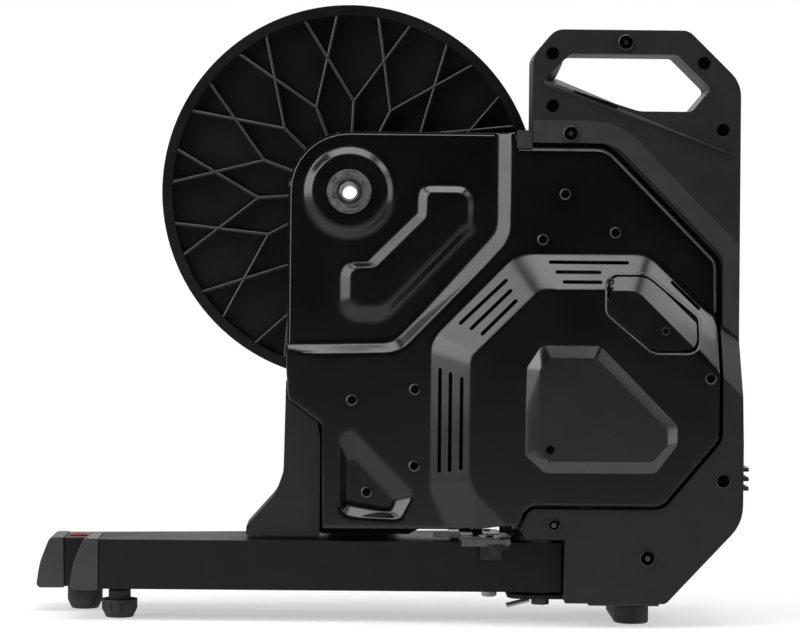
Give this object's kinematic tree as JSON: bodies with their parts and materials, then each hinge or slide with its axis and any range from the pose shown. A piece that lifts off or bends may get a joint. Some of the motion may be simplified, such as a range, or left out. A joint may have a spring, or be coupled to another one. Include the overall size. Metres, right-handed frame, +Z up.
{
  "type": "direct drive bike trainer",
  "caption": "Folded direct drive bicycle trainer: ribbed drive pulley and freehub on a handled frame, flywheel under a black side cover, two swing-out legs.",
  "frame": {"origin": "middle of the bounding box, on the floor under the feet", "axes": "+X to the rear, +Y to the drive side along the hub axle, +Z up"},
  "size_m": [0.5798, 0.162, 0.5],
  "materials": {
    "frame_paint": "satin dark grey paint",
    "base_iron": "cast iron, dark grey paint",
    "cover_black": "near black semi gloss",
    "cap_grey": "satin dark grey",
    "shell_grey": "matte dark grey, moulded",
    "screw_black": "black oxide",
    "steel": "machined",
    "dark_steel": "dark plated",
    "flywheel_steel": "machined cast iron",
    "pulley_black": "black cast",
    "small_pulley_alloy": "machined",
    "idler_plastic": "smooth",
    "belt_rubber": "ribbed rubber",
    "foot_rubber": "moulded rubber",
    "port_plastic": "textured",
    "board_green": "solder mask",
    "spacer_brass": "turned",
    "stator_iron": "laminated",
    "coil_copper": "enamelled copper wire",
    "leg_paint": "satin black paint",
    "leg_cap_plastic": "textured dark grey",
    "leg_steel": "dark zinc",
    "strip_red": "soft red"
  },
  "bodies": {
    "frame": {"frame_plate": "frame_paint", "side_cover": "cover_black", "cover_screws": "screw_black", "centre_cap": "cap_grey", "centre_cap_screw": "screw_black", "access_door": "cover_black", "access_door_screw": "screw_black", "left_frame_shell": "shell_grey", "right_frame_shell": "shell_grey", "frame_bolts": "screw_black", "front_bracket": "frame_paint", "base_casting": "base_iron", "lower_clevis_plate": "frame_paint", "base_pad": "port_plastic", "rear_foot": "foot_rubber", "power_port": "port_plastic", "control_board": "board_green", "board_spacers": "spacer_brass", "belt_guard": "cover_black", "guard_screws": "screw_black", "hub_axle": "steel", "axle_locknut": "steel", "left_end_cap": "dark_steel", "right_end_cap": "steel", "pulley_bearings": "steel", "freehub_bearings": "steel", "axle_spacers": "steel", "flywheel_bearings": "steel", "brake_stator": "stator_iron", "brake_coils": "coil_copper", "tensioner_arm": "dark_steel", "idler_pin": "steel", "drive_belt": "belt_rubber", "thrust_washers": "steel", "hinge_bolts": "screw_black", "hinge_nuts": "steel", "latch_post": "frame_paint", "lock_tongue": "dark_steel"},
    "pulley": {"drive_pulley": "pulley_black", "ratchet_ring": "steel"},
    "freehub": {"freehub_body": "dark_steel"},
    "flywheel": {"flywheel": "flywheel_steel", "flywheel_shaft": "steel", "small_pulley": "small_pulley_alloy", "shaft_nut": "steel"},
    "idler": {"idler_wheel": "idler_plastic"},
    "near_leg": {"near_leg_tube": "leg_paint", "near_leg_cap": "leg_cap_plastic", "near_leg_fittings": "leg_steel"},
    "far_leg": {"far_leg_tube": "leg_paint", "far_leg_cap": "leg_cap_plastic", "far_leg_fittings": "leg_steel", "wheel_strip": "strip_red"},
    "near_latch": {"near_latch_lever": "leg_steel"},
    "far_latch": {"far_latch_lever": "leg_steel"},
    "near_levelling_foot": {"near_foot": "foot_rubber"},
    "far_levelling_foot": {"far_foot": "foot_rubber"}
  },
  "joints": [
    {"name": "flywheel_spin", "type": "hinge", "parent": "frame", "child": "flywheel", "pos_m": [0.162, 0.019, 0.1825], "axis": [0, 1, 0], "continuous": true},
    {"name": "pulley_spin", "type": "hinge", "parent": "frame", "child": "pulley", "pos_m": [-0.035, 0.019, 0.346], "axis": [0, 1, 0], "continuous": true},
    {"name": "freehub_spin", "type": "hinge", "parent": "pulley", "child": "freehub", "pos_m": [-0.035, 0.049, 0.346], "axis": [0, 1, 0], "continuous": true},
    {"name": "idler_spin", "type": "hinge", "parent": "frame", "child": "idler", "pos_m": [0.11142, 0.024, 0.14975], "axis": [0, 1, 0], "continuous": true},
    {"name": "near_leg_fold", "type": "hinge", "parent": "frame", "child": "near_leg", "pos_m": [0.123, -0.025, 0.046], "axis": [0, 0, 1], "range_deg": [0, 50]},
    {"name": "far_leg_fold", "type": "hinge", "parent": "frame", "child": "far_leg", "pos_m": [0.123, 0.031, 0.046], "axis": [0, 0, -1], "range_deg": [0, 50]},
    {"name": "near_latch_lift", "type": "hinge", "parent": "near_leg", "child": "near_latch", "pos_m": [0.094, -0.058, 0.0666], "axis": [0, 1, 0], "range_deg": [0, 8], "stiffness_Nm_per_rad": 0.2, "springref_deg": -11.46},
    {"name": "far_latch_lift", "type": "hinge", "parent": "far_leg", "child": "far_latch", "pos_m": [0.0716, 0.013, 0.0688], "axis": [0, 1, 0], "range_deg": [0, 5], "stiffness_Nm_per_rad": 0.2, "springref_deg": -11.46},
    {"name": "near_foot_screw", "type": "slide", "parent": "near_leg", "child": "near_levelling_foot", "axis": [0, 0, -1], "range_m": [0, 0.008]},
    {"name": "far_foot_screw", "type": "slide", "parent": "far_leg", "child": "far_levelling_foot", "axis": [0, 0, -1], "range_m": [0, 0.008]}
  ],
  "couplings": [
    {"joint": "pulley_spin", "follows": "flywheel_spin", "ratio": 0.13514},
    {"joint": "idler_spin", "follows": "flywheel_spin", "ratio": -1.25}
  ]
}
